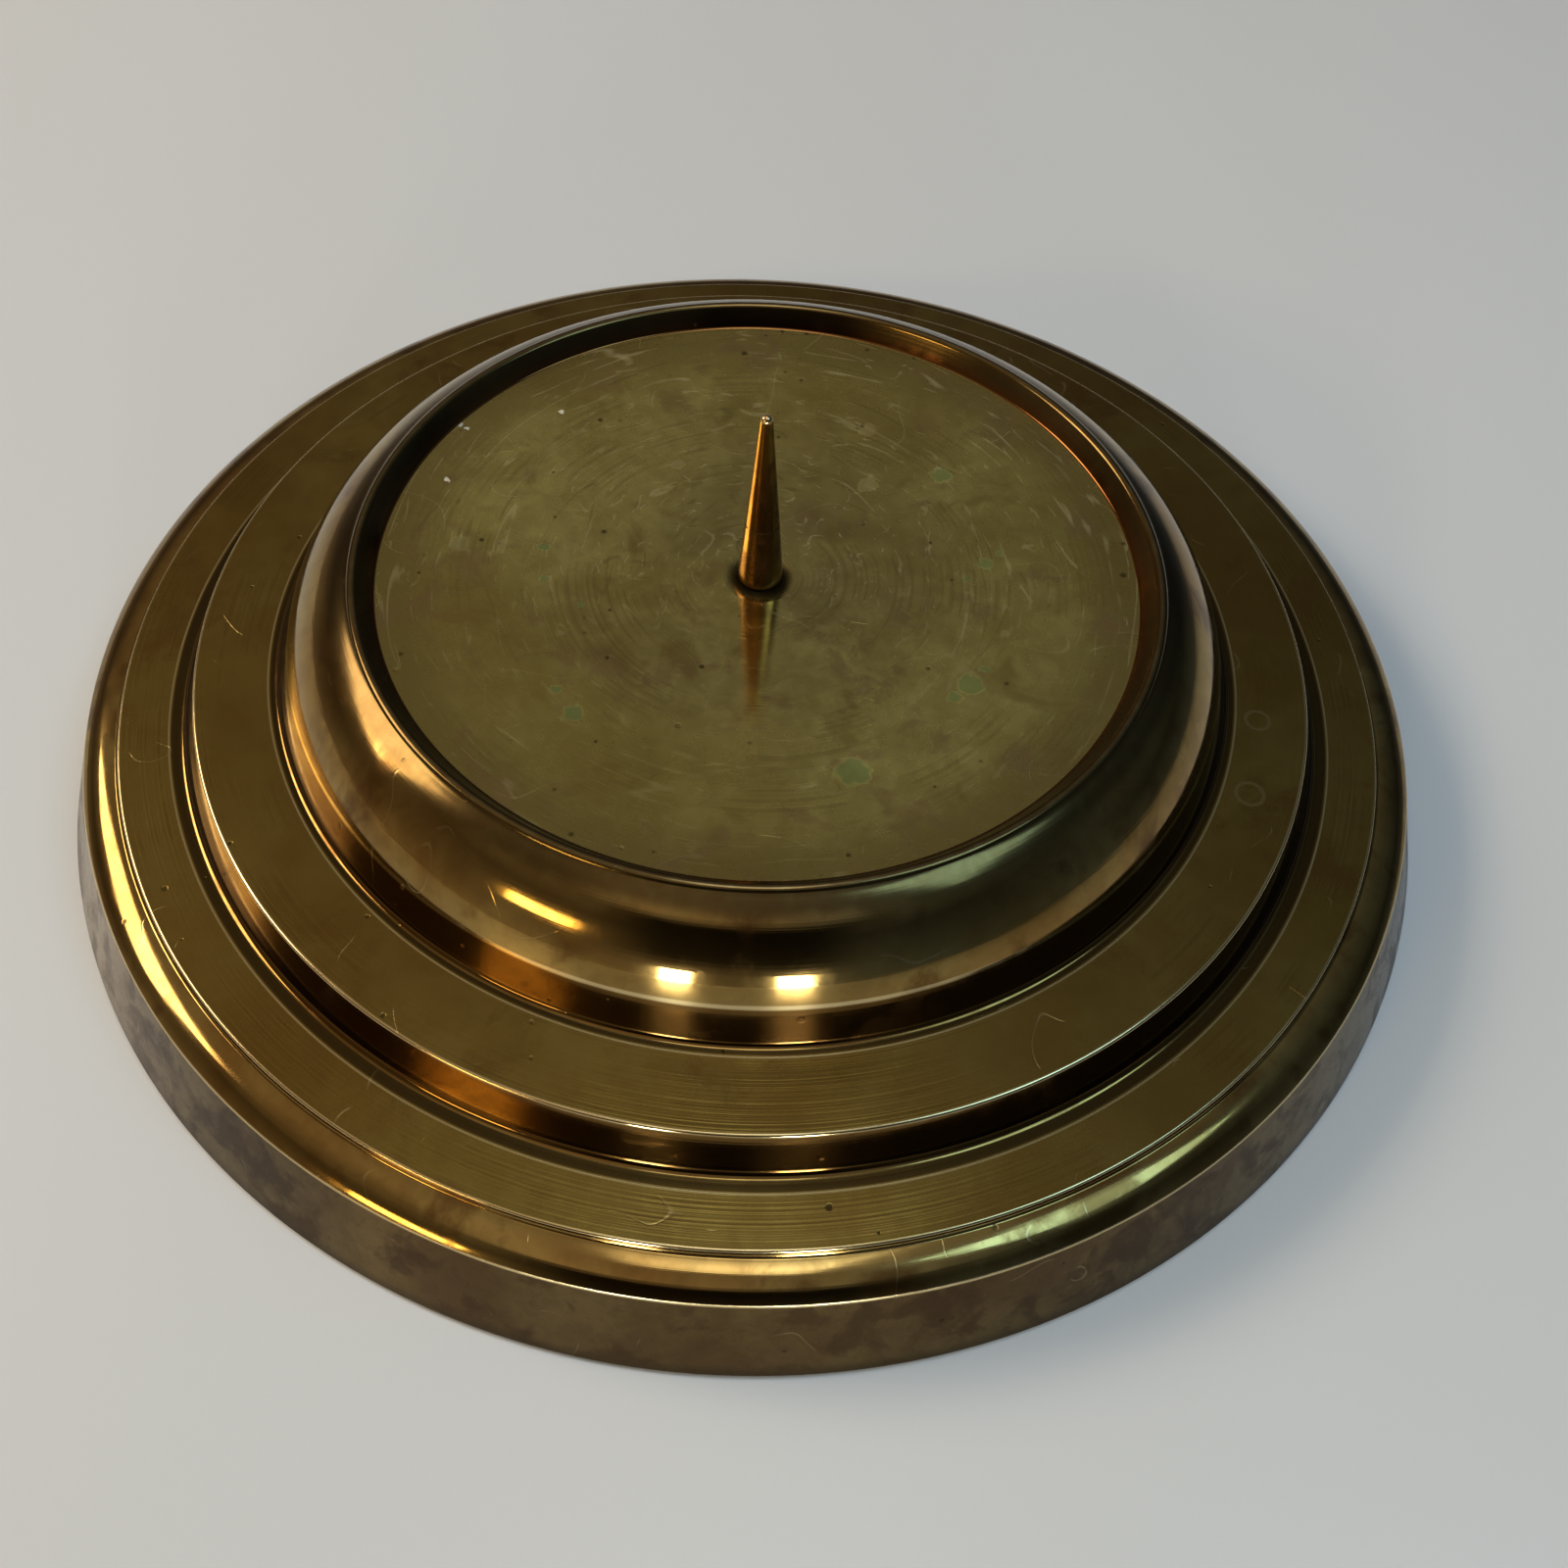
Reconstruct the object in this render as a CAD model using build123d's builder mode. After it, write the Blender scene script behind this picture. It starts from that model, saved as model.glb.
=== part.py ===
"""Pillar candle holder: a stepped brass plate with a shallow dish and a central spike.

The origin is on the table under the centre of the plate, +Z is up, sizes are millimetres.
"""

import os

from build123d import *

os.makedirs("parts", exist_ok=True)

# Felt ring, let into a shallow groove under the foot
FELT_THICKNESS = 1.2
FELT_PROUD = 0.5
FELT_OUTER_R = 88.0
FELT_INNER_R = 84.4
GROOVE_GAP = 0.2
FOOT_R = 90.15
FOOT_INNER_R = 82.4

# Outside of the plate from the foot up: flared wall, shoulder, two flat steps with steep risers, ovolo, lip
SHOULDER_R = 86.3
SHOULDER_Z = 11.2
SHOULDER_TOP_R = 81.75
SHOULDER_TOP_Z = 13.0
SHOULDER_SWELL = 0.5
STEP_1_R = 81.55
STEP_1_Z = 13.8
STEP_1_INNER_R = 73.2
STEP_2_R = 71.2
STEP_2_Z = 19.1
STEP_2_INNER_R = 60.8
OVOLO_R = 58.9
OVOLO_Z = 24.0
OVOLO_TOP_R = 50.3
OVOLO_TOP_Z = 33.0
OVOLO_SWELL = 1.3
LIP_R = 49.6
LIP_Z = 33.4
LIP_INNER_R = 48.9
LIP_INNER_Z = 32.9

# Dish that the candle stands in: part of a large sphere, with a flat seat for the spike
DISH_R = 47.4
DISH_EDGE_Z = 30.8
DISH_LOW_Z = 29.0
SEAT_R = 4.6

# Worked edges, and the coves where a step meets the flat below it
FOOT_EDGE = 0.35
SHARP_EDGE = 0.2
CRISP_EDGE = 0.4
COVE_1 = 1.1
COVE_2 = 0.9
DISH_COVE = 0.5

# Hollow underside, which follows the steps, and the boss that the nut pulls against
HOLLOW_WALL_R = 80.0
HOLLOW_1_Z = 9.0
HOLLOW_1_INNER_R = 69.2
HOLLOW_2_R = 67.4
HOLLOW_2_Z = 14.4
HOLLOW_2_INNER_R = 54.4
HOLLOW_3_R = 51.0
HOLLOW_3_Z = 25.2
HOLLOW_CORNER = 2.0
BOSS_R = 9.0
BOSS_Z = 23.6
BOSS_DRAFT = 0.6

# Spike and its fixing
SPIKE_R = 2.9
SPIKE_TIP_R = 0.75
SPIKE_HEIGHT = 25.6
SPIKE_FOOT_ROUND = 0.5
SPIKE_RING_HEIGHT = 9.2
SPIKE_RING_DEPTH = 0.12
SHANK_R = 2.0
HOLE_R = 2.15
THREAD_PITCH = 0.7
THREAD_DEPTH = 0.35
THREAD_TURNS = 10
THREAD_RELIEF = 1.4
WASHER_R = 4.5
WASHER_THICKNESS = 0.8
NUT_ACROSS_FLATS = 7.0
NUT_THICKNESS = 3.2
NUT_BORE_R = 2.03
NUT_CORNER_CUT = 0.5

# Heights that follow from the sizes above
foot_z = FELT_PROUD
groove_z = FELT_THICKNESS
dish_sphere_r = (DISH_R**2 + (DISH_EDGE_Z - DISH_LOW_Z) ** 2) / (2 * (DISH_EDGE_Z - DISH_LOW_Z))
seat_z = DISH_LOW_Z + SEAT_R**2 / (2 * dish_sphere_r)
thread_top_z = BOSS_Z + THREAD_RELIEF
thread_end_z = thread_top_z - THREAD_TURNS * THREAD_PITCH
washer_z = BOSS_Z - WASHER_THICKNESS
nut_z = washer_z - NUT_THICKNESS


def circles_at(shape, *radii):
    """The circular edges of shape that have one of these radii."""
    rings = shape.edges().filter_by(GeomType.CIRCLE)
    return rings.filter_by(lambda edge: any(abs(edge.radius - r) < 0.005 for r in radii))


# Plate: one brass casting, turned all over outside and left hollow underneath
with BuildPart() as stepped_base:
    with BuildSketch(Plane.XZ):
        with BuildLine():
            Polyline(
                (HOLE_R, seat_z),
                (HOLE_R, BOSS_Z),
                (BOSS_R, BOSS_Z),
                (BOSS_R + BOSS_DRAFT, HOLLOW_3_Z),
                (HOLLOW_3_R, HOLLOW_3_Z),
                (HOLLOW_2_INNER_R, HOLLOW_2_Z),
                (HOLLOW_2_R, HOLLOW_2_Z),
                (HOLLOW_1_INNER_R, HOLLOW_1_Z),
                (HOLLOW_WALL_R, HOLLOW_1_Z),
                (FOOT_INNER_R, foot_z),
                (FELT_INNER_R - GROOVE_GAP, foot_z),
                (FELT_INNER_R - GROOVE_GAP, groove_z),
                (FELT_OUTER_R + GROOVE_GAP, groove_z),
                (FELT_OUTER_R + GROOVE_GAP, foot_z),
                (FOOT_R, foot_z),
                (SHOULDER_R, SHOULDER_Z),
            )
            SagittaArc((SHOULDER_R, SHOULDER_Z), (SHOULDER_TOP_R, SHOULDER_TOP_Z), -SHOULDER_SWELL)
            Polyline(
                (SHOULDER_TOP_R, SHOULDER_TOP_Z),
                (STEP_1_R, STEP_1_Z),
                (STEP_1_INNER_R, STEP_1_Z),
                (STEP_2_R, STEP_2_Z),
                (STEP_2_INNER_R, STEP_2_Z),
                (OVOLO_R, OVOLO_Z),
            )
            SagittaArc((OVOLO_R, OVOLO_Z), (OVOLO_TOP_R, OVOLO_TOP_Z), -OVOLO_SWELL)
            ThreePointArc((OVOLO_TOP_R, OVOLO_TOP_Z), (LIP_R, LIP_Z), (LIP_INNER_R, LIP_INNER_Z))
            Line((LIP_INNER_R, LIP_INNER_Z), (DISH_R, DISH_EDGE_Z))
            RadiusArc((DISH_R, DISH_EDGE_Z), (SEAT_R, seat_z), dish_sphere_r)
            Line((SEAT_R, seat_z), (HOLE_R, seat_z))
        make_face()
    revolve(axis=Axis.Z)
    fillet(circles_at(stepped_base, STEP_1_INNER_R), COVE_1)
    fillet(circles_at(stepped_base, STEP_2_INNER_R), COVE_2)
    fillet(circles_at(stepped_base, DISH_R), DISH_COVE)
    fillet(circles_at(stepped_base, STEP_1_R, STEP_2_R, OVOLO_R), CRISP_EDGE)
    fillet(circles_at(stepped_base, SHOULDER_R), SHARP_EDGE)
    fillet(circles_at(stepped_base, FOOT_R, FOOT_INNER_R), FOOT_EDGE)
    hollow_corners = circles_at(stepped_base, HOLLOW_WALL_R, HOLLOW_1_INNER_R, HOLLOW_2_R)
    fillet(hollow_corners + circles_at(stepped_base, HOLLOW_2_INNER_R, HOLLOW_3_R), HOLLOW_CORNER)
stepped_base.part.label = "stepped_base"
export_step(stepped_base.part, "parts/stepped_base.step")

# Felt ring: punched from sheet felt and glued into its groove, standing a little proud of the foot
with BuildPart() as felt_ring:
    with BuildSketch():
        Circle(FELT_OUTER_R)
        Circle(FELT_INNER_R, mode=Mode.SUBTRACT)
    extrude(amount=FELT_THICKNESS)
felt_ring.part.label = "felt_ring"
export_step(felt_ring.part, "parts/felt_ring.step")

# Spike: turned brass cone on a threaded shank, with one light turned line round it
with BuildPart() as candle_spike:
    tip_z = seat_z + SPIKE_HEIGHT
    slope = (SPIKE_R - SPIKE_TIP_R) / (SPIKE_HEIGHT - SPIKE_TIP_R)
    ring_z = seat_z + SPIKE_RING_HEIGHT
    ring_r = SPIKE_R - slope * SPIKE_RING_HEIGHT
    thread_root_r = SHANK_R - THREAD_DEPTH
    with BuildSketch(Plane.XZ):
        with BuildLine():
            Polyline(
                (0, tip_z),
                (0, thread_end_z),
                (thread_root_r, thread_end_z),
                *[
                    (SHANK_R - THREAD_DEPTH * (half % 2 == 0), thread_end_z + half * THREAD_PITCH / 2)
                    for half in range(1, 2 * THREAD_TURNS + 1)
                ],
                (SHANK_R, thread_top_z + THREAD_DEPTH),
                (SHANK_R, seat_z),
                (SPIKE_R, seat_z),
                (ring_r + slope * SPIKE_RING_DEPTH, ring_z - SPIKE_RING_DEPTH),
                (ring_r - SPIKE_RING_DEPTH, ring_z),
                (ring_r - slope * SPIKE_RING_DEPTH, ring_z + SPIKE_RING_DEPTH),
                (SPIKE_TIP_R, tip_z - SPIKE_TIP_R),
            )
            RadiusArc((SPIKE_TIP_R, tip_z - SPIKE_TIP_R), (0, tip_z), -SPIKE_TIP_R)
        make_face()
    revolve(axis=Axis.Z)
    fillet(circles_at(candle_spike, SPIKE_R), SPIKE_FOOT_ROUND)
candle_spike.part.label = "candle_spike"
export_step(candle_spike.part, "parts/candle_spike.step")

# Washer: plain punched brass washer under the boss
with BuildPart() as spike_washer:
    with BuildSketch(Plane.XY.offset(washer_z)):
        Circle(WASHER_R)
        Circle(HOLE_R, mode=Mode.SUBTRACT)
    extrude(amount=WASHER_THICKNESS)
spike_washer.part.label = "spike_washer"
export_step(spike_washer.part, "parts/spike_washer.step")

# Nut: hexagon nut with its corners cut back on the outer face, pulling the spike down on its seat
with BuildPart() as spike_nut:
    with BuildSketch(Plane.XY.offset(nut_z)):
        RegularPolygon(NUT_ACROSS_FLATS / 2, 6, major_radius=False)
        Circle(NUT_BORE_R, mode=Mode.SUBTRACT)
    extrude(amount=NUT_THICKNESS)
    corner_r = NUT_ACROSS_FLATS / 3**0.5
    with BuildSketch(Plane.XZ):
        with BuildLine():
            Polyline(
                (NUT_ACROSS_FLATS / 2, nut_z),
                (corner_r + 1, nut_z),
                (corner_r + 1, nut_z + NUT_CORNER_CUT * (corner_r + 1 - NUT_ACROSS_FLATS / 2)),
                close=True,
            )
        make_face()
    revolve(axis=Axis.Z, mode=Mode.SUBTRACT)
spike_nut.part.label = "spike_nut"
export_step(spike_nut.part, "parts/spike_nut.step")
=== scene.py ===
"""A brass pillar candle holder: a stepped, turned plate with a spike screwed through its dish."""

import math

import bpy
from mathutils import Matrix, Vector


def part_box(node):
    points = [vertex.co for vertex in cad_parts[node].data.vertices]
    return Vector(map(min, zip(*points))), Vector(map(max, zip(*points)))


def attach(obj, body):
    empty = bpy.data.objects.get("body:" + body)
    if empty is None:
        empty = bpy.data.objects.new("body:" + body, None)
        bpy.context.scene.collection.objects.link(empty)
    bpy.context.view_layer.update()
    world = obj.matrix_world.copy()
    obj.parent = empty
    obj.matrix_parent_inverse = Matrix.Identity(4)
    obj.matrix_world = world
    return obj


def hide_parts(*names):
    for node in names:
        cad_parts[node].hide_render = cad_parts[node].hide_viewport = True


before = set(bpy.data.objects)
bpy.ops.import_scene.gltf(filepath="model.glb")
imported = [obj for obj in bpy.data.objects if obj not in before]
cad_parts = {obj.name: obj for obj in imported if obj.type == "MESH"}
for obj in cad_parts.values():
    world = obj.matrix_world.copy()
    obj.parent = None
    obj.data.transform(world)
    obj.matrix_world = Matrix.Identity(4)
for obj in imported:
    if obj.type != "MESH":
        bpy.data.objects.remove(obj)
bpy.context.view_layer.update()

bpy.ops.object.select_all(action="DESELECT")

# Camera: a hand-held view from the front, well above the plate, tipped a few degrees.
CAMERA_PLACE = (0.00484, -0.14373, 0.17469)
CAMERA_RIGHT = (0.99753, 0.05587, 0.04266)
CAMERA_UP = (-0.07029, 0.79285, 0.60535)
CAMERA_LENS = 37.125
CAMERA_SENSOR = 36.0
CAMERA_NEAR = 0.005

camera_data = bpy.data.cameras.new("camera")
camera_data.lens = CAMERA_LENS
camera_data.sensor_width = CAMERA_SENSOR
camera_data.clip_start = CAMERA_NEAR
camera = bpy.data.objects.new("camera", camera_data)
bpy.context.scene.collection.objects.link(camera)
right = Vector(CAMERA_RIGHT).normalized()
up = Vector(CAMERA_UP)
up = (up - right * up.dot(right)).normalized()
turn = Matrix((right, up, right.cross(up))).transposed().to_4x4()
camera.matrix_world = Matrix.Translation(CAMERA_PLACE) @ turn
bpy.context.scene.camera = camera


# Plate: one brass casting, turned and polished all over the outside and left as cast in the hollow underside.
# Its skin is drawn up ring by ring, from the hollow underneath over the foot and the steps to the dish.
PLATE_R = 90.0
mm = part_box("stepped_base")[1].x / PLATE_R
PLATE_SEGMENTS = 256
FOOT_Z, GROOVE_Z = 0.5, 1.2
FOOT, FOOT_INNER_R = (90.11, FOOT_Z), 82.4
GROOVE_INNER_R, GROOVE_OUTER_R = 84.2, 88.2
SHOULDER, SHOULDER_TOP, SHOULDER_SWELL = (86.3, 11.2), (81.75, 13.0), 0.5
STEP_1, STEP_1_INNER = (81.55, 13.8), (73.2, 13.8)
STEP_2, STEP_2_INNER = (71.2, 19.1), (60.8, 19.1)
OVOLO, OVOLO_TOP, OVOLO_SWELL = (58.9, 24.0), (50.3, 33.0), 1.3
LIP_CREST, LIP_INNER, LIP_SWELL = (49.6, 33.4), (48.9, 32.9), 0.45
DISH_EDGE, SEAT_EDGE, DISH_SINK = (47.4, 30.8), (4.6, 29.017), 0.39
HOLE_R, BOSS_R, BOSS_Z, BOSS_FOOT_R = 2.15, 9.0, 23.6, 9.6
HOLLOW_CORNERS = ((80.0, 9.0), (69.2, 9.0), (67.4, 14.4), (54.4, 14.4), (51.0, 25.2))


def swell(start, end, rise, steps):
    """Rings of a round stretch from start to end, which stands proud of its chord by rise."""
    (r0, z0), (r1, z1) = start, end
    chord = math.hypot(r1 - r0, z1 - z0)
    radius = chord * chord / (8 * abs(rise)) + abs(rise) / 2
    half_turn = math.asin(chord / (2 * radius))
    along = Vector((r1 - r0, z1 - z0)) / chord
    aside = Vector((along.y, -along.x)) * math.copysign(1, rise)
    rings = []
    for step in range(steps + 1):
        turned_by = half_turn * (2 * step / steps - 1)
        forward = radius * math.sin(turned_by) + chord / 2
        out = radius * (math.cos(turned_by) - math.cos(half_turn))
        place = Vector(start) + along * forward + aside * out
        rings.append((place.x, place.y))
    return rings


def turned(name, rings, segments):
    """A skin of revolution about Z through these rings, each a radius and a height in millimetres."""
    radius, height = rings[0]
    bpy.ops.mesh.primitive_circle_add(vertices=segments, radius=radius * mm, location=(0, 0, height * mm))
    piece = bpy.context.active_object
    piece.name = name
    bpy.ops.object.transform_apply(location=True, rotation=False, scale=False)
    bpy.ops.object.mode_set(mode="EDIT")
    bpy.ops.mesh.select_all(action="SELECT")
    for next_radius, next_height in rings[1:]:
        rise = (0, 0, (next_height - height) * mm)
        bpy.ops.mesh.extrude_region_move(TRANSFORM_OT_translate={"value": rise})
        grow = next_radius / radius
        bpy.ops.transform.resize(value=(grow, grow, 1), center_override=(0, 0, 0))
        radius, height = next_radius, next_height
    bpy.ops.mesh.select_all(action="SELECT")
    bpy.ops.mesh.remove_doubles(threshold=1e-7)
    bpy.ops.mesh.normals_make_consistent(inside=False)
    bpy.ops.object.mode_set(mode="OBJECT")
    return piece


RING_REACH = 0.02


def round_ring(piece, ring, width, steps):
    """Rounds off the corner that runs round the piece at this ring."""
    radius, height = ring[0] * mm, ring[1] * mm
    near = RING_REACH * mm
    for vertex in piece.data.vertices:
        on_radius = abs(math.hypot(vertex.co.x, vertex.co.y) - radius) < near
        vertex.select = on_radius and abs(vertex.co.z - height) < near
    for edge in piece.data.edges:
        edge.select = all(piece.data.vertices[v].select for v in edge.vertices)
    for face in piece.data.polygons:
        face.select = False
    bpy.ops.object.mode_set(mode="EDIT")
    bpy.ops.mesh.select_mode(type="EDGE")
    bpy.ops.mesh.bevel(offset=width * mm, offset_type="OFFSET", segments=steps, profile=0.5, affect="EDGES")
    bpy.ops.object.mode_set(mode="OBJECT")


FLAT_WEIGHT = 80


def smooth_flats_first(piece):
    """Shades the piece smooth, with its large faces kept flat and the small rounded ones blended in."""
    bpy.ops.object.shade_smooth()
    weighted = piece.modifiers.new("weighted", "WEIGHTED_NORMAL")
    weighted.weight = FLAT_WEIGHT
    bpy.ops.object.modifier_apply(modifier="weighted")


underside = [
    (BOSS_R, BOSS_Z), (BOSS_FOOT_R, HOLLOW_CORNERS[-1][1]), *reversed(HOLLOW_CORNERS), (FOOT_INNER_R, FOOT_Z),
    (GROOVE_INNER_R, FOOT_Z), (GROOVE_INNER_R, GROOVE_Z),
    (GROOVE_OUTER_R, GROOVE_Z), (GROOVE_OUTER_R, FOOT_Z), FOOT,
]
outside = (
    swell(SHOULDER, SHOULDER_TOP, SHOULDER_SWELL, 14)
    + [STEP_1, STEP_1_INNER, STEP_2, STEP_2_INNER]
    + swell(OVOLO, OVOLO_TOP, OVOLO_SWELL, 28)
    + swell(OVOLO_TOP, LIP_INNER, LIP_SWELL, 12)[1:]
    + swell(DISH_EDGE, SEAT_EDGE, -DISH_SINK, 16)
)
plate = turned(
    "stepped_plate",
    [(HOLE_R, BOSS_Z)] + underside + outside + [(HOLE_R, SEAT_EDGE[1]), (HOLE_R, BOSS_Z)],
    PLATE_SEGMENTS,
)
ROUNDED_RINGS = (
    (STEP_1_INNER, 0.75, 6), (STEP_2_INNER, 0.6, 6), (DISH_EDGE, 0.25, 4),
    (STEP_1, 0.25, 5), (STEP_2, 0.25, 5), (OVOLO, 0.25, 5), (SHOULDER, 0.1, 3), (FOOT, 0.4, 4),
    *((corner, 1.0, 5) for corner in HOLLOW_CORNERS),
)
for ring, width, steps in ROUNDED_RINGS:
    round_ring(plate, ring, width, steps)
smooth_flats_first(plate)
plate.data.materials.clear()


def node(tree, kind, inputs=(), **settings):
    """Adds a shader node. Each input is set to its value, or joined to the socket given for it."""
    made = tree.nodes.new("ShaderNode" + kind)
    for setting, value in settings.items():
        setattr(made, setting, value)
    for socket, value in dict(inputs).items():
        if isinstance(value, bpy.types.NodeSocket):
            tree.links.new(value, made.inputs[socket])
        else:
            made.inputs[socket].default_value = value
    return made


def maths(tree, operation, first, second=0.0):
    """One sum on two numbers or sockets."""
    return node(tree, "Math", {0: first, 1: second}, operation=operation).outputs[0]


def slide(tree, value, low, high):
    """Goes smoothly from 0 to 1 as value goes from low to high."""
    return node(tree, "MapRange", {0: value, 1: low, 2: high}, interpolation_type="SMOOTHSTEP").outputs[0]


def fade(tree, distance, start, end):
    """Goes smoothly from 0 to 1 as a distance goes from start to end, both in millimetres."""
    return slide(tree, distance, start * mm, end * mm)


def tint(tree, mask, under, over):
    """The colour under, with the colour over it where the mask is 1."""
    return node(tree, "Mix", {0: mask, 6: under, 7: over}, data_type="RGBA").outputs[2]


def effect(name, takes, gives):
    """A node group with these number inputs beside its Vector, and these number outputs."""
    group = bpy.data.node_groups.new(name, "ShaderNodeTree")
    group.interface.new_socket("Vector", in_out="INPUT", socket_type="NodeSocketVector")
    for socket, value in takes.items():
        made = group.interface.new_socket(socket, in_out="INPUT", socket_type="NodeSocketFloat")
        made.default_value = value
    for socket in gives:
        group.interface.new_socket(socket, in_out="OUTPUT", socket_type="NodeSocketFloat")
    return group, group.nodes.new("NodeGroupInput").outputs, group.nodes.new("NodeGroupOutput").inputs


def place(tree, group, vector, **values):
    """Puts a node group in a material and gives back its outputs."""
    return node(tree, "Group", {"Vector": vector, **values}, node_tree=group).outputs


def from_axis(tree, vector):
    """How far a point is from the axis that the plate is turned about."""
    flat = node(tree, "VectorMath", {0: vector, 1: (1, 1, 0)}, operation="MULTIPLY").outputs[0]
    return node(tree, "VectorMath", {0: flat}, operation="LENGTH").outputs["Value"]


# Turning marks: the fine round lines that the tool and the polishing cloth leave.
turning_marks, takes, gives = effect("turning_marks", {"Spacing": 0.0003, "Break": 0.5}, ["Height"])
across = maths(turning_marks, "DIVIDE", from_axis(turning_marks, takes["Vector"]), takes["Spacing"])
lines = node(turning_marks, "TexNoise", {"W": across, "Scale": 1.0, "Detail": 3.0}, noise_dimensions="1D")
patch = node(turning_marks, "TexNoise", {"Vector": takes["Vector"], "Scale": 90.0, "Detail": 2.0})
held = maths(turning_marks, "MULTIPLY", slide(turning_marks, patch.outputs[0], 0.62, 0.38), takes["Break"])
kept = maths(turning_marks, "SUBTRACT", 1.0, held)
turning_marks.links.new(maths(turning_marks, "MULTIPLY", lines.outputs[0], kept), gives["Height"])

# Blotches: soft-edged patches of tarnish.
blotches, takes, gives = effect(
    "blotches", {"Size": 0.01, "Cut": 0.5, "Softness": 0.1, "Seed": 0.0}, ["Mask"]
)
scale = maths(blotches, "DIVIDE", 1.0, takes["Size"])
cloud = node(
    blotches, "TexNoise",
    {"Vector": takes["Vector"], "W": takes["Seed"], "Scale": scale, "Detail": 5.0, "Roughness": 0.6,
     "Distortion": 0.5},
    noise_dimensions="4D",
)
low = maths(blotches, "SUBTRACT", takes["Cut"], takes["Softness"])
high = maths(blotches, "ADD", takes["Cut"], takes["Softness"])
blotches.links.new(slide(blotches, cloud.outputs[0], low, high), gives["Mask"])

# Hairlines: short curved scratches, which follow the level lines of a cloud and are broken up by another.
hairlines, takes, gives = effect(
    "hairlines", {"Size": 0.01, "Width": 0.004, "Cut": 0.5, "Seed": 0.0}, ["Mask"]
)
scale = maths(hairlines, "DIVIDE", 1.0, takes["Size"])
bends = node(
    hairlines, "TexNoise",
    {"Vector": takes["Vector"], "W": takes["Seed"], "Scale": scale, "Detail": 0.0, "Distortion": 0.4},
    noise_dimensions="4D",
)
near_line = maths(hairlines, "ABSOLUTE", maths(hairlines, "SUBTRACT", bends.outputs[0], 0.5))
line = slide(hairlines, near_line, takes["Width"], 0.0)
breaks = node(
    hairlines, "TexNoise",
    {"Vector": takes["Vector"], "W": takes["Seed"], "Scale": maths(hairlines, "MULTIPLY", scale, 2.3)},
    noise_dimensions="4D",
)
shown = slide(hairlines, breaks.outputs[0], takes["Cut"], maths(hairlines, "ADD", takes["Cut"], 0.06))
hairlines.links.new(maths(hairlines, "MULTIPLY", line, shown), gives["Mask"])

# Specks: small round pits and grains, one at most in each cell of a scattered grid.
specks, takes, gives = effect("specks", {"Spacing": 0.004, "Size": 0.0003, "Share": 0.5}, ["Mask"])
cells = node(
    specks, "TexVoronoi",
    {"Vector": takes["Vector"], "Scale": maths(specks, "DIVIDE", 1.0, takes["Spacing"])},
)
away = maths(specks, "MULTIPLY", cells.outputs["Distance"], takes["Spacing"])
chance = node(specks, "SeparateColor", {0: cells.outputs["Color"]}).outputs
own_size = maths(specks, "MULTIPLY", takes["Size"], maths(specks, "ADD", chance[1], 0.3))
grain = slide(specks, away, own_size, maths(specks, "MULTIPLY", own_size, 0.5))
picked = maths(specks, "LESS_THAN", chance[0], takes["Share"])
specks.links.new(maths(specks, "MULTIPLY", grain, picked), gives["Mask"])

# Worn ring and painted highlight: a pale line along an edge, partly rubbed bright by hands and cloths and
# partly a painted highlight.
worn_ring_and_highlight, takes, gives = effect("worn_ring_and_highlight", {"Radius": 0.05, "Height": 0.02, "Width": 0.0004}, ["Mask"])
out = maths(worn_ring_and_highlight, "SUBTRACT", from_axis(worn_ring_and_highlight, takes["Vector"]), takes["Radius"])
height = node(worn_ring_and_highlight, "SeparateXYZ", {0: takes["Vector"]}).outputs["Z"]
above = maths(worn_ring_and_highlight, "SUBTRACT", height, takes["Height"])
out_squared = maths(worn_ring_and_highlight, "MULTIPLY", out, out)
above_squared = maths(worn_ring_and_highlight, "MULTIPLY", above, above)
gap = maths(worn_ring_and_highlight, "SQRT", maths(worn_ring_and_highlight, "ADD", out_squared, above_squared))
rubbed_and_highlit = node(worn_ring_and_highlight, "TexNoise", {"Vector": takes["Vector"], "Scale": 60.0, "Detail": 4.0}).outputs[0]
reach = maths(worn_ring_and_highlight, "MULTIPLY", takes["Width"], maths(worn_ring_and_highlight, "ADD", rubbed_and_highlit, 0.5))
worn_ring_and_highlight.links.new(slide(worn_ring_and_highlight, gap, reach, maths(worn_ring_and_highlight, "MULTIPLY", reach, 0.4)), gives["Mask"])

PALE_EDGE, DARK_PIT = (0.78, 0.62, 0.33, 1), (0.03, 0.02, 0.008, 1)


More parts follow.
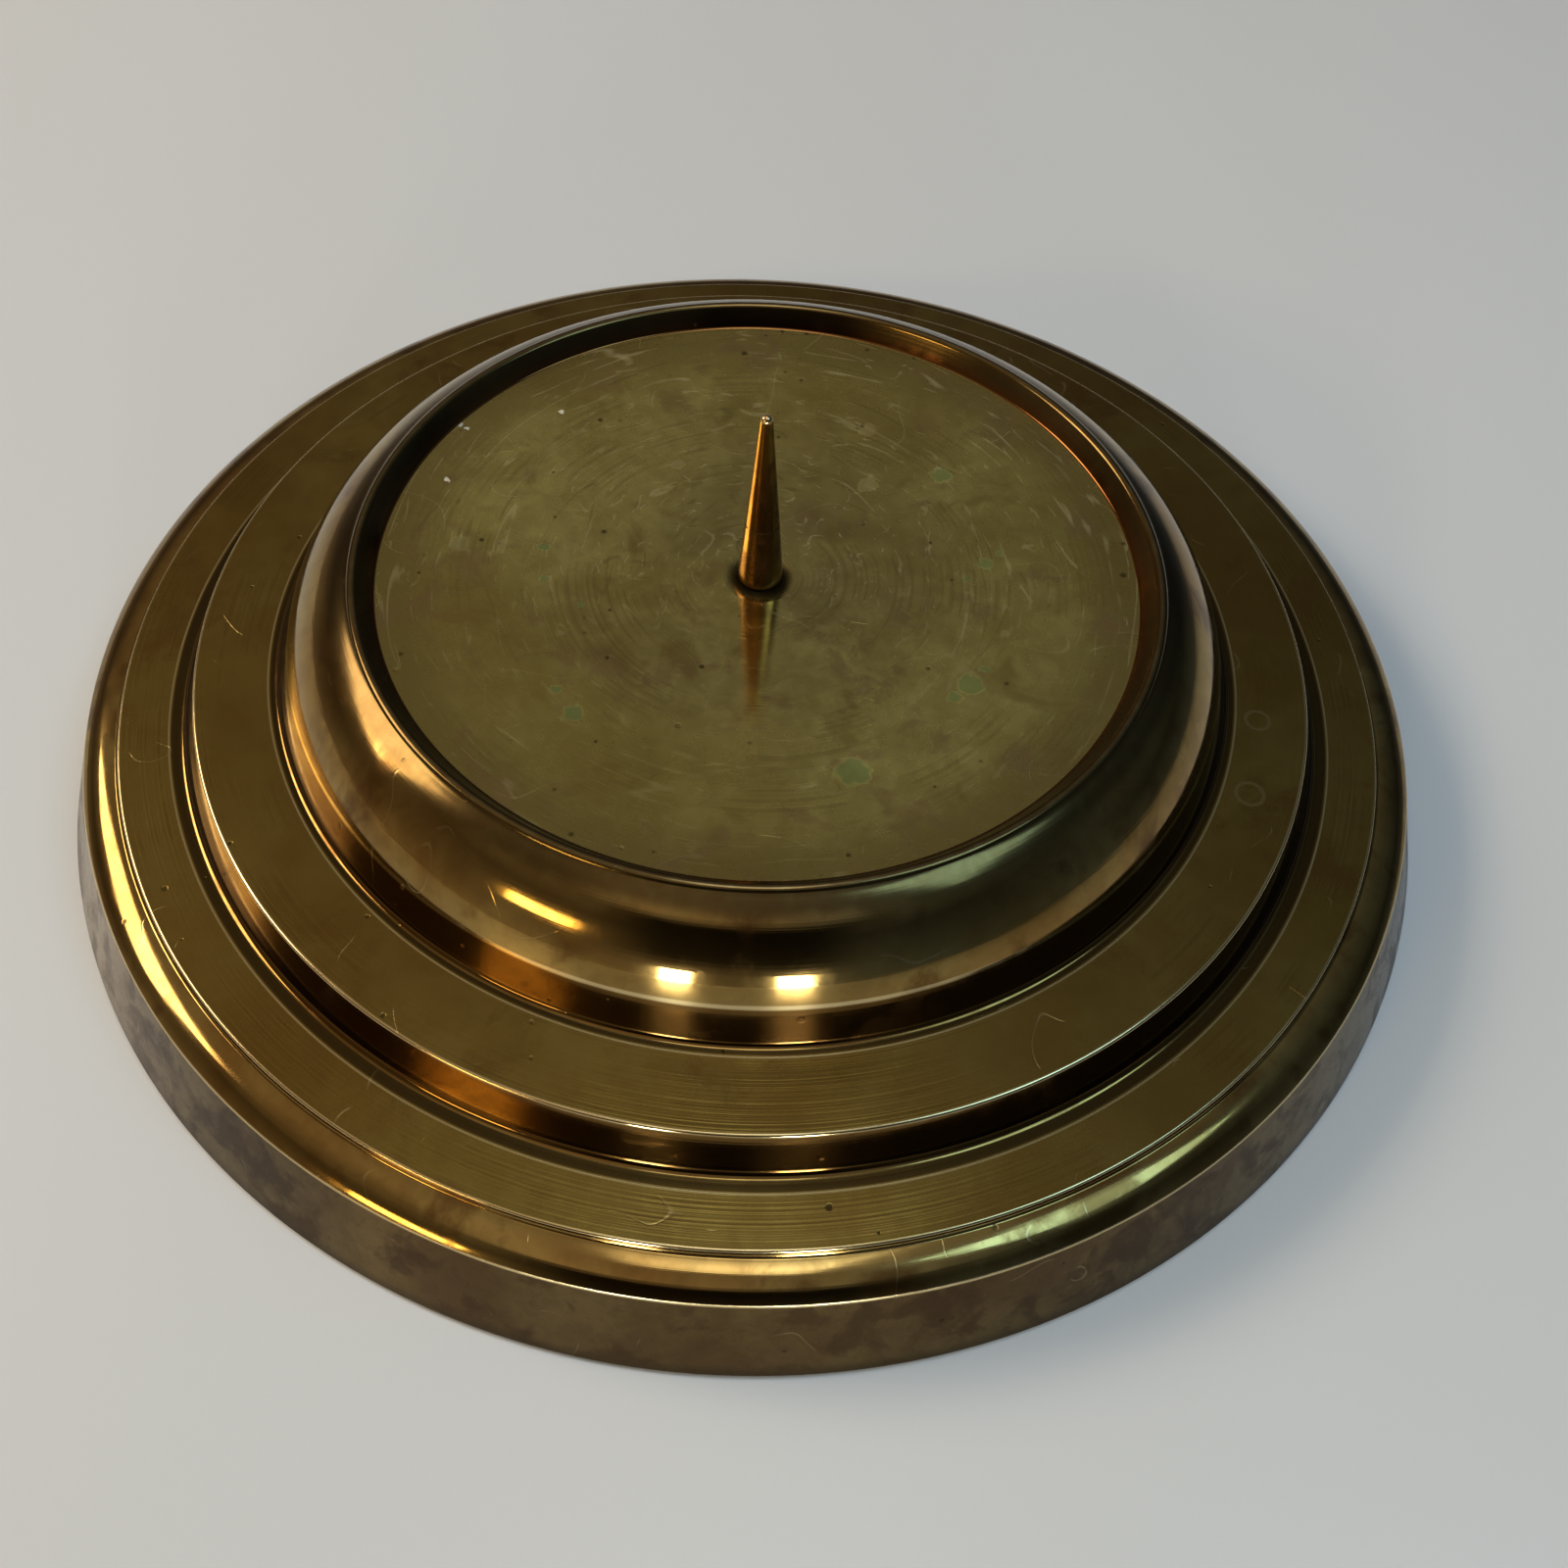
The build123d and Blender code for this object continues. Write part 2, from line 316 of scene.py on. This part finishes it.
def aged_brass(name, pale, deep, stain, roughness, tarnish_size, marks=0.00001, stained=0.58, rubbed_and_highlit=()):
    """Brass of one finish. Gives back the material and the place vector that its effects use."""
    material = bpy.data.materials.new(name)
    material.use_nodes = True
    tree = material.node_tree
    shader = tree.nodes["Principled BSDF"]
    vector = node(tree, "TexCoord").outputs["Object"]
    wide = place(tree, blotches, vector, Size=3.2 * tarnish_size, Cut=0.5, Softness=0.16)["Mask"]
    fine = place(tree, blotches, vector, Size=0.35 * tarnish_size, Cut=0.52, Softness=0.14, Seed=3.0)["Mask"]
    brown = place(tree, blotches, vector, Size=tarnish_size, Cut=stained, Softness=0.07, Seed=7.0)["Mask"]
    dark = place(tree, specks, vector, Spacing=0.0042, Size=0.0004, Share=0.30)["Mask"]
    hairs = place(tree, hairlines, vector, Size=0.012, Width=0.003, Cut=0.54, Seed=2.0)["Mask"]
    colour = tint(tree, wide, deep, pale)
    colour = tint(tree, maths(tree, "MULTIPLY", fine, 0.30), colour, stain)
    colour = tint(tree, maths(tree, "MULTIPLY", brown, 0.75), colour, stain)
    colour = tint(tree, maths(tree, "MULTIPLY", dark, 0.8), colour, DARK_PIT)
    colour = tint(tree, maths(tree, "MULTIPLY", hairs, 0.2), colour, PALE_EDGE)
    # Each listed edge gets a pale line, partly rubbed wear and partly a painted highlight.
    for radius, height, width in rubbed_and_highlit:
        worn_and_highlit = place(tree, worn_ring_and_highlight, vector, Radius=radius * mm, Height=height * mm, Width=width * mm)
        colour = tint(tree, maths(tree, "MULTIPLY", worn_and_highlit["Mask"], 0.75), colour, PALE_EDGE)
    rough = maths(tree, "ADD", roughness, maths(tree, "MULTIPLY", brown, 0.10))
    rough = maths(tree, "ADD", rough, maths(tree, "MULTIPLY", fine, 0.04))
    rough = maths(tree, "ADD", rough, maths(tree, "MULTIPLY", dark, 0.25))
    turning = place(tree, turning_marks, vector)["Height"]
    relief = maths(tree, "SUBTRACT", turning, maths(tree, "MULTIPLY", hairs, 0.6))
    relief = maths(tree, "SUBTRACT", relief, maths(tree, "MULTIPLY", dark, 2.0))
    bump = node(tree, "Bump", {"Height": relief, "Distance": marks})
    shader.inputs["Metallic"].default_value = 1.0
    tree.links.new(colour, shader.inputs["Base Color"])
    tree.links.new(rough, shader.inputs["Roughness"])
    tree.links.new(bump.outputs["Normal"], shader.inputs["Normal"])
    return material, vector


def relay(material, socket, over, mask, strength=1.0):
    """Lays a new colour or number over what already reaches a socket of the shader, where the mask is."""
    tree = material.node_tree
    target = tree.nodes["Principled BSDF"].inputs[socket]
    under = target.links[0].from_socket if target.links else target.default_value
    mask = maths(tree, "MULTIPLY", mask, strength)
    if socket == "Base Color":
        laid = tint(tree, mask, under, over)
    else:
        laid = node(tree, "Mix", {0: mask, 2: under, 3: over}).outputs[0]
    tree.links.new(laid, target)


# The mouldings: polished bright once, now toned golden to orange brown.
# Edges with a pale line, partly rubbed wear and partly a painted highlight: radius, height and width in
# millimetres.
EDGES = ((*STEP_1, 0.35), (*STEP_2, 0.40), (*OVOLO, 0.40), (*LIP_CREST, 0.35), (*SHOULDER, 0.25))
LIP_WALL_SHADE, RISER_SHADE = (0.13, 0.045, 0.012, 1), (0.115, 0.055, 0.013, 1)
BROW_DULL, BROW_SPOT = (0.105, 0.078, 0.030, 1), (0.10, 0.055, 0.018, 1)
RISER_FACE_MARGIN = 0.9
LIP_INWARD, LIP_UPWARD = (49.0, 48.3), (29.5, 30.5)
BROW_INWARD, BROW_UPWARD = (54.0, 51.5), (31.0, 32.3)
polished, vector = aged_brass(
    "polished_brass",
    pale=(0.40, 0.285, 0.095, 1), deep=(0.27, 0.155, 0.042, 1), stain=(0.11, 0.05, 0.013, 1),
    roughness=0.075, tarnish_size=0.011, marks=0.000006, rubbed_and_highlit=EDGES,
)
tree = polished.node_tree
height = node(tree, "SeparateXYZ", {0: vector}).outputs["Z"]
radius = from_axis(tree, vector)
# Painted shade: the inner wall of the lip, down into the dish, is darkened.
lip_wall_shade = maths(tree, "MULTIPLY", fade(tree, radius, *LIP_INWARD), fade(tree, height, *LIP_UPWARD))
relay(polished, "Base Color", LIP_WALL_SHADE, lip_wall_shade, 0.85)
# Painted shade: each riser face, below its rounded top edge, is darkened.
for foot, top in ((STEP_1_INNER, STEP_2), (STEP_2_INNER, OVOLO)):
    within = maths(
        tree, "MULTIPLY", fade(tree, radius, foot[0] + RISER_FACE_MARGIN, foot[0]),
        fade(tree, radius, top[0] - 0.1, top[0] + 0.1),
    )
    low_enough = fade(tree, height, top[1] - 0.1, top[1] - 0.5)
    relay(polished, "Base Color", RISER_SHADE, maths(tree, "MULTIPLY", within, low_enough), 0.85)
brow = maths(tree, "MULTIPLY", fade(tree, radius, *BROW_INWARD), fade(tree, height, *BROW_UPWARD))
spotted = place(tree, blotches, vector, Size=0.0025, Cut=0.45, Softness=0.15, Seed=5.0)["Mask"]
relay(polished, "Base Color", BROW_DULL, brow, 0.85)
relay(polished, "Base Color", BROW_SPOT, maths(tree, "MULTIPLY", brow, spotted), 0.5)
relay(polished, "Roughness", 0.17, brow, 0.8)

# The flat steps: satin, brown olive, with a ring of painted shade at the foot of each riser, out to a turned
# line.
LINE_BROWN, RISER_FOOT_SHADE, TURNED_PALE = (0.13, 0.08, 0.018, 1), (0.035, 0.022, 0.008, 1), (0.60, 0.50, 0.27, 1)
FOOT_SHADE_RINGS = ((STEP_1_INNER[0], 75.2), (STEP_2_INNER[0], 62.0))
RING_STAIN, RING_STAINS = (0.36, 0.27, 0.12, 1), ((61.8, -21.4, 1.7), (64.2, -9.5, 1.5))
satin, vector = aged_brass(
    "satin_brass", pale=(0.26, 0.19, 0.050, 1), deep=(0.20, 0.125, 0.028, 1), stain=(0.12, 0.065, 0.015, 1),
    roughness=0.20, tarnish_size=0.013, marks=0.000022, stained=0.60, rubbed_and_highlit=EDGES,
)
tree = satin.node_tree
radius = from_axis(tree, vector)
lines = place(tree, turning_marks, vector, Spacing=0.0006, Break=0.9)["Height"]
relay(satin, "Base Color", LINE_BROWN, slide(tree, lines, 0.46, 0.62), 0.30)
# Painted shade: each flat is darkened from the foot of its riser out to the turned line.
for foot, end in FOOT_SHADE_RINGS:
    past_foot = fade(tree, radius, foot + 0.1, foot + 0.3)
    foot_shade = maths(tree, "MULTIPLY", past_foot, fade(tree, radius, end, end - 0.3))
    relay(satin, "Base Color", RISER_FOOT_SHADE, foot_shade, 0.85)
    turned_line = maths(tree, "ABSOLUTE", maths(tree, "SUBTRACT", radius, (end + 0.12) * mm))
    relay(satin, "Base Color", TURNED_PALE, fade(tree, turned_line, 0.18, 0.04), 0.6)
for x, y, size in RING_STAINS:
    offset = node(tree, "VectorMath", {0: vector, 1: (x * mm, y * mm, STEP_2[1] * mm)}, operation="DISTANCE")
    ring = maths(tree, "ABSOLUTE", maths(tree, "SUBTRACT", offset.outputs["Value"], size * mm))
    relay(satin, "Base Color", RING_STAIN, fade(tree, ring, 0.35, 0.1), 0.5)

# The foot wall: duller, mottled brown, with painted shade darkening it along the table.
TABLE_LINE_SHADE, TABLE_SHADE_FADE = (0.05, 0.032, 0.014, 1), (2.6, 0.6)
foot_brass, vector = aged_brass(
    "foot_brass", pale=(0.165, 0.112, 0.043, 1), deep=(0.10, 0.060, 0.022, 1), stain=(0.05, 0.026, 0.010, 1),
    roughness=0.24, tarnish_size=0.006, marks=0.000012, stained=0.54, rubbed_and_highlit=((*SHOULDER, 0.3),),
)
tree = foot_brass.node_tree
height = node(tree, "SeparateXYZ", {0: vector}).outputs["Z"]
# Painted shade: the wall darkens over its lowest few millimetres, along the table.
relay(foot_brass, "Base Color", TABLE_LINE_SHADE, fade(tree, height, *TABLE_SHADE_FADE), 0.8)

# The dish floor: olive, scoured by candles and knives, with green and brown spots and specks of wax.
# Each spot has its place across and along the dish and its radius.
GREEN, SPOT_BROWN, WAX = (0.034, 0.080, 0.010, 1), (0.085, 0.062, 0.024, 1), (0.72, 0.70, 0.62, 1)
GREEN_SPOTS = (
    (26.2, -16.2, 1.9), (24.3, -18.4, 1.1), (28.0, -13.6, 0.7), (-20.1, -25.0, 1.5), (-22.6, -21.5, 0.9),
    (28.3, 4.3, 1.1), (26.0, 1.6, 0.8), (30.2, 6.4, 0.7), (12.6, -30.7, 2.5), (22.8, 20.2, 1.6),
    (-27.5, 1.8, 0.8), (-26.6, -3.6, 0.6), (-21.6, -7.4, 0.6),
)
BROWN_SPOTS = (
    (12.8, 28.4, 1.5), (13.0, 17.7, 1.6), (30.5, -7.5, 0.7), (-12.2, 19.2, 1.0), (-37.8, 0.7, 1.5),
    (-23.5, -12.4, 0.6), (12.4, 3.4, 0.6),
)
WAX_SPECKS = ((-41.6, 22.4, 0.55), (-40.6, 21.8, 0.4), (-41.4, 12.0, 0.5), (-28.5, 27.0, 0.45))
DISH_WALL_SHADE, DULL_OLIVE, ROUND_LINE = (0.27, 0.21, 0.07, 1), (0.42, 0.37, 0.17, 1), (0.24, 0.18, 0.055, 1)
PINKISH, CLOUDY_BROWN, GRIT_BROWN = (0.33, 0.22, 0.11, 1), (0.30, 0.235, 0.065, 1), (0.075, 0.055, 0.02, 1)
FRESH_SCRATCH, OLD_SCRATCH = (0.80, 0.73, 0.40, 1), (0.12, 0.085, 0.025, 1)
SEAT_DARK, SEAT_DARK_INWARD, SEAT_DARK_OUTWARD = (0.055, 0.035, 0.014, 1), (4.7, 3.4), (1.0, 2.4)
WALL_SHADE_FADE, SCOURED_FADE, SMOOTH_FADE = (38, 46), (34, 8), (26, 12)
BEFORE_SPIKE, BUFFED_FADE, FAR_HALF = (-1, -5), (27, 21), (-26, 14)
dish_brass, vector = aged_brass(
    "dish_brass", pale=(0.64, 0.58, 0.20, 1), deep=(0.42, 0.345, 0.10, 1), stain=(0.26, 0.185, 0.05, 1),
    roughness=0.25, tarnish_size=0.010, marks=0.000016, stained=0.60,
)
tree = dish_brass.node_tree
radius = from_axis(tree, vector)
# Painted shade: the dish floor darkens towards its wall.
wall_shade = fade(tree, radius, *WALL_SHADE_FADE)
relay(dish_brass, "Base Color", DISH_WALL_SHADE, wall_shade, 0.7)
scoured = fade(tree, radius, *SCOURED_FADE)
dulled = place(tree, blotches, vector, Size=0.022, Cut=0.47, Softness=0.12, Seed=11.0)["Mask"]
relay(dish_brass, "Base Color", DULL_OLIVE, maths(tree, "MULTIPLY", scoured, dulled), 0.55)
relay(dish_brass, "Roughness", 0.15, fade(tree, radius, *SMOOTH_FADE), 0.8)
lines = place(tree, turning_marks, vector, Spacing=0.0007, Break=0.9)["Height"]
relay(dish_brass, "Base Color", ROUND_LINE, slide(tree, lines, 0.46, 0.62), 0.32)
pink = place(tree, blotches, vector, Size=0.007, Cut=0.60, Softness=0.05, Seed=15.0)["Mask"]
relay(dish_brass, "Base Color", PINKISH, pink, 0.5)
flat = node(tree, "SeparateXYZ", {0: vector}).outputs
angle = maths(tree, "ARCTAN2", flat["Y"], flat["X"])
before_spike = fade(tree, flat["Y"], *BEFORE_SPIKE)
buffed = maths(tree, "MULTIPLY", before_spike, fade(tree, radius, *BUFFED_FADE))
relay(dish_brass, "Roughness", 0.10, buffed, 0.9)
far_half = fade(tree, flat["Y"], *FAR_HALF)
worked = maths(tree, "ADD", 0.35, maths(tree, "MULTIPLY", far_half, 0.65))
swirl = node(tree, "CombineXYZ", {0: radius, 1: maths(tree, "MULTIPLY", angle, 0.006)}).outputs[0]
fresh_scratches = (
    (swirl, 21.0, 0.0045, 0.018, 0.51, 0.50), (swirl, 23.0, 0.0020, 0.035, 0.53, 0.42),
    (vector, 25.0, 0.016, 0.003, 0.48, 0.45), (vector, 29.0, 0.006, 0.007, 0.56, 0.50),
)
for way, seed, size, width, cut, strength in fresh_scratches:
    scratch = place(tree, hairlines, way, Size=size, Width=width, Cut=cut, Seed=seed)["Mask"]
    scratch = maths(tree, "MULTIPLY", scratch, worked)
    relay(dish_brass, "Base Color", FRESH_SCRATCH, scratch, strength)
    relay(dish_brass, "Roughness", 0.40, scratch, 0.6)
for seed, size, width in ((33.0, 0.006, 0.016), (37.0, 0.011, 0.008)):
    scratch = place(tree, hairlines, swirl, Size=size, Width=width, Cut=0.52, Seed=seed)["Mask"]
    scratch = maths(tree, "MULTIPLY", scratch, worked)
    relay(dish_brass, "Base Color", OLD_SCRATCH, scratch, 0.38)
cloudy = place(tree, blotches, vector, Size=0.0035, Cut=0.50, Softness=0.14, Seed=41.0)["Mask"]
relay(dish_brass, "Base Color", CLOUDY_BROWN, cloudy, 0.35)
grit = place(tree, specks, vector, Spacing=0.0030, Size=0.00045, Share=0.35)["Mask"]
relay(dish_brass, "Base Color", GRIT_BROWN, grit, 0.8)
wobble = node(tree, "TexNoise", {"Vector": vector, "Scale": 900.0, "Detail": 3.0}).outputs["Color"]
wobble = node(tree, "VectorMath", {0: wobble, 1: (-0.5, -0.5, -0.5)}, operation="ADD").outputs[0]
ragged = node(tree, "VectorMath", {0: wobble, "Scale": 1.6 * mm}, operation="SCALE").outputs[0]
ragged = node(tree, "VectorMath", {0: vector, 1: ragged}, operation="ADD").outputs[0]
ragged = node(tree, "VectorMath", {0: ragged, 1: (1, 1, 0)}, operation="MULTIPLY").outputs[0]
stains = ((GREEN_SPOTS, GREEN, 0.75), (BROWN_SPOTS, SPOT_BROWN, 0.55), (WAX_SPECKS, WAX, 0.9))
for spots, colour, strength in stains:
    for x, y, size in spots:
        away = node(tree, "VectorMath", {0: ragged, 1: (x * mm, y * mm, 0)}, operation="DISTANCE")
        spot = slide(tree, away.outputs["Value"], size * mm, 0.6 * size * mm)
        relay(dish_brass, "Base Color", colour, spot, strength)
        relay(dish_brass, "Metallic", 0.1, spot, strength)
        relay(dish_brass, "Roughness", 0.55, spot, strength)
# The dish is darker and rougher in a ring round the spike's seat.
seat_dark = maths(tree, "MULTIPLY", fade(tree, radius, *SEAT_DARK_INWARD), fade(tree, radius, *SEAT_DARK_OUTWARD))
relay(dish_brass, "Base Color", SEAT_DARK, seat_dark, 0.85)
relay(dish_brass, "Roughness", 0.55, seat_dark, 0.8)

# The hollow underneath: rough from the sand mould, gone brown.
SAND_GRAIN_SCALE, SAND_DEPTH = 1400.0, 0.00025
cast_brass, vector = aged_brass(
    "cast_brass", pale=(0.36, 0.24, 0.11, 1), deep=(0.20, 0.125, 0.06, 1), stain=(0.10, 0.07, 0.04, 1),
    roughness=0.48, tarnish_size=0.016, marks=0.00001,
)
tree = cast_brass.node_tree
sand = node(
    tree, "TexNoise", {"Vector": vector, "Scale": SAND_GRAIN_SCALE, "Detail": 6.0, "Roughness": 0.7}
).outputs[0]
skin = node(tree, "Bump", {"Height": sand, "Distance": SAND_DEPTH})
tree.links.new(skin.outputs["Normal"], tree.nodes["Principled BSDF"].inputs["Normal"])

FLAT_ENOUGH, FACING_DOWN, WALL_FACING = 0.97, -0.05, 0.75


def finish_of(face):
    """Which finish a face of the plate has, by where it lies and which way it faces."""
    radius = math.hypot(face.center.x, face.center.y) / mm
    height = face.center.z / mm
    outward = (face.normal.x * face.center.x + face.normal.y * face.center.y) / (radius * mm)
    hollow_side = height < SEAT_EDGE[1] - 0.5 and (outward < 0 or radius < BOSS_R + 1)
    in_groove = height < GROOVE_Z and radius < GROOVE_OUTER_R + 0.1
    if face.normal.z < FACING_DOWN or hollow_side or in_groove:
        return cast_brass
    if radius > SHOULDER[0] - 0.1 and outward > WALL_FACING:
        return foot_brass
    if radius < DISH_EDGE[0] - 0.1 and height < LIP_INNER[1] - 1:
        return dish_brass
    on_step = min(abs(height - STEP_1[1]), abs(height - STEP_2[1])) < 0.1
    return satin if face.normal.z > FLAT_ENOUGH and on_step else polished


finishes = (polished, satin, foot_brass, dish_brass, cast_brass)
for finish in finishes:
    plate.data.materials.append(finish)
for face in plate.data.polygons:
    face.material_index = finishes.index(finish_of(face))
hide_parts("stepped_base")
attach(plate, "root")


# Felt ring: punched from dark green pressed felt and glued into the groove under the foot.
# It stands half a millimetre proud, so that the brass never touches the table.
FELT_OUTER_R, FELT_INNER_R, FELT_TOP = 88.0, 84.4, 1.2
FELT_CORNER, FELT_CORNER_STEPS = 0.3, 3
FELT_DARK, FELT_MATTED, FELT_FIBRE = (0.020, 0.045, 0.024, 1), (0.045, 0.085, 0.050, 1), (0.11, 0.16, 0.11, 1)
FELT_TUFT_DEPTH = 0.00012
felt = turned(
    "felt_pad",
    [(FELT_INNER_R, FELT_TOP), (FELT_INNER_R, 0.0), (FELT_OUTER_R, 0.0), (FELT_OUTER_R, FELT_TOP),
     (FELT_INNER_R, FELT_TOP)],
    PLATE_SEGMENTS,
)
for corner in ((FELT_INNER_R, 0.0), (FELT_OUTER_R, 0.0)):
    round_ring(felt, corner, FELT_CORNER, FELT_CORNER_STEPS)
smooth_flats_first(felt)
felt.data.materials.clear()
felt_cloth = bpy.data.materials.new("green_felt")
felt_cloth.use_nodes = True
tree = felt_cloth.node_tree
shader = tree.nodes["Principled BSDF"]
vector = node(tree, "TexCoord").outputs["Object"]
fibres = place(tree, hairlines, vector, Size=0.0009, Width=0.05, Cut=0.42)["Mask"]
matted = place(tree, blotches, vector, Size=0.004, Cut=0.5, Softness=0.15)["Mask"]
colour = tint(tree, matted, FELT_DARK, FELT_MATTED)
colour = tint(tree, maths(tree, "MULTIPLY", fibres, 0.5), colour, FELT_FIBRE)
tree.links.new(colour, shader.inputs["Base Color"])
tuft = node(tree, "Bump", {"Height": maths(tree, "ADD", fibres, matted), "Distance": FELT_TUFT_DEPTH})
tree.links.new(tuft.outputs["Normal"], shader.inputs["Normal"])
tree.links.new(maths(tree, "ADD", 0.86, maths(tree, "MULTIPLY", matted, 0.1)), shader.inputs["Roughness"])
shader.inputs["Sheen Weight"].default_value = 0.4
shader.inputs["Sheen Roughness"].default_value = 0.6
felt.data.materials.append(felt_cloth)
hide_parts("felt_ring")
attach(felt, "root")


def refinish(name, material):
    """Gives a CAD piece its finished material."""
    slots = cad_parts[name].data.materials
    slots.clear()
    slots.append(material)


# Spike: a turned brass cone with one fine groove round it, polished and gone coppery.
# Its threaded shank goes down through the dish and the boss.
SPIKE_FOOT_BROWN, SPIKE_FOOT_FADE = (0.09, 0.04, 0.018, 1), (31.4, 29.6)
RING_SHADE, SPIKE_RING_Z, BRIGHT_TIP = (0.10, 0.05, 0.02, 1), 38.2, 1.2
spike_brass, vector = aged_brass(
    "spike_brass", pale=(0.50, 0.27, 0.085, 1), deep=(0.36, 0.16, 0.045, 1), stain=(0.13, 0.05, 0.02, 1),
    roughness=0.15, tarnish_size=0.004, marks=0.000008, stained=0.57,
)
tree = spike_brass.node_tree
spike_tip_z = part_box("candle_spike")[1].z
height = node(tree, "SeparateXYZ", {0: vector}).outputs["Z"]
relay(spike_brass, "Base Color", SPIKE_FOOT_BROWN, fade(tree, height, *SPIKE_FOOT_FADE), 0.7)
bright_tip = slide(tree, height, spike_tip_z - BRIGHT_TIP * mm, spike_tip_z)
relay(spike_brass, "Base Color", PALE_EDGE, bright_tip, 0.5)
grooved = maths(tree, "ABSOLUTE", maths(tree, "SUBTRACT", height, SPIKE_RING_Z * mm))
relay(spike_brass, "Base Color", RING_SHADE, fade(tree, grooved, 0.25, 0.05), 0.7)
refinish("candle_spike", spike_brass)

# Washer and nut: plain machined brass from stock, dulled by handling. The washer lies against the boss.
# The nut runs up the shank below it and pulls the spike down on its seat.
fixing_brass = aged_brass(
    "fixing_brass", pale=(0.56, 0.44, 0.21, 1), deep=(0.42, 0.30, 0.13, 1), stain=(0.22, 0.14, 0.06, 1),
    roughness=0.27, tarnish_size=0.003, marks=0.00001, stained=0.60,
)[0]
for part in ("spike_washer", "spike_nut"):
    refinish(part, fixing_brass)


# Table: a plain pale table top, cool white and slightly polished.
TABLE_SIZE, TABLE_WHITE, TABLE_ROUGHNESS = 6, (0.76, 0.80, 0.84, 1), 0.32
bpy.ops.mesh.primitive_plane_add(size=TABLE_SIZE)
table = bpy.context.active_object
table.name = "table_top"
table_material = bpy.data.materials.new("pale_table")
table_material.use_nodes = True
table_shader = table_material.node_tree.nodes["Principled BSDF"]
table_shader.inputs["Base Color"].default_value = TABLE_WHITE
table_shader.inputs["Roughness"].default_value = TABLE_ROUGHNESS
table.data.materials.append(table_material)


# Light: soft boxes round a dim room. Each has its azimuth (0 is the front, and it grows to the right), its
# elevation in degrees, its distance and size in metres, and its power in watts.
DAYLIGHT, LAMPLIGHT, WARM_WALL = (1.0, 1.0, 0.94), (1.0, 0.68, 0.26), (1.0, 0.82, 0.62)
COOL_WALL, SKYLIGHT = (0.40, 0.74, 1.0), (0.93, 0.98, 1.0)
PLATE_MIDDLE, FAR_LEFT_OF_TABLE = (0, 0, 0.02), (-0.08, 0.24, 0)


def soft_light(name, azimuth, elevation, distance, size, power, colour, faces=PLATE_MIDDLE, spread=180):
    """A soft box that faces the plate, or another point on the table."""
    data = bpy.data.lights.new(name, "AREA")
    data.shape = "RECTANGLE"
    data.size, data.size_y = size
    data.energy = power
    data.color = colour
    data.spread = math.radians(spread)
    light = bpy.data.objects.new(name, data)
    bpy.context.scene.collection.objects.link(light)
    a, e = math.radians(azimuth), math.radians(elevation)
    spot = Vector((math.sin(a) * math.cos(e), -math.cos(a) * math.cos(e), math.sin(e))) * distance
    light.location = spot
    light.rotation_euler = (spot - Vector(faces)).to_track_quat("Z", "Y").to_euler()
    light.visible_camera = False


soft_light("window_left", -11, 5, 2.0, (0.20, 0.36), 9, DAYLIGHT)
soft_light("window_right", 12, 5, 2.0, (0.22, 0.36), 10, DAYLIGHT)
soft_light("warm_lamp", -41, 24, 2.0, (0.50, 0.22), 5.0, LAMPLIGHT)
soft_light("warm_side", -104, 38, 1.5, (0.68, 0.54), 10.4, WARM_WALL)
soft_light("cool_side", 76, 62, 1.1, (0.4, 0.4), 1.8, COOL_WALL)
soft_light("ceiling", 178, 82, 1.7, (1.2, 0.4), 0.3, SKYLIGHT, faces=FAR_LEFT_OF_TABLE, spread=44)

# The room itself: dim walls, warm on the left and cool on the right, under a brighter ceiling.
FRONT_WALL = ((0.0, 0.24), (0.16, 0.18), (0.34, 0.03), (0.74, 0.012), (0.82, 0.55), (1.0, 0.45))
SIDE_WALL = ((0.0, 0.26), (0.30, 0.16), (0.60, 0.09), (0.85, 0.24), (1.0, 0.4))
BACK_WALL = ((0.0, 0.16), (0.24, 0.06), (0.55, 0.18), (0.80, 0.27), (1.0, 0.45))
WARM_HUE, COOL_HUE = (1.35, 1.08, 0.78, 1), (0.34, 0.44, 0.55, 1)
world = bpy.data.worlds.new("studio")
bpy.context.scene.world = world
world.use_nodes = True
tree = world.node_tree
to_room = node(tree, "TexCoord").outputs["Generated"]
aim = node(tree, "SeparateXYZ", {0: to_room}).outputs


def bands(height, stops):
    """Brightness of the room by height, from straight ahead at 0 to straight up at 1."""
    ramp = node(tree, "ValToRGB", {0: height})
    elements = ramp.color_ramp.elements
    while len(elements) < len(stops):
        elements.new(0.5)
    for element, (stop, level) in zip(elements, stops):
        element.position = stop
        element.color = (level, level, level, 1)
    return ramp.outputs[0]


front = bands(aim["Z"], FRONT_WALL)
beside = bands(aim["Z"], SIDE_WALL)
behind = bands(aim["Z"], BACK_WALL)
aside = maths(tree, "ABSOLUTE", aim["X"])
ahead = tint(tree, slide(tree, aside, 0.22, 0.5), front, beside)
level = tint(tree, slide(tree, aim["Y"], -0.25, 0.25), ahead, behind)
hue = tint(tree, slide(tree, aim["X"], -0.7, 0.7), WARM_HUE, COOL_HUE)
glow = node(tree, "Mix", {0: 1.0, 6: level, 7: hue}, data_type="RGBA", blend_type="MULTIPLY").outputs[2]
tree.links.new(glow, tree.nodes["Background"].inputs["Color"])
bpy.context.scene.view_settings.view_transform = "Standard"
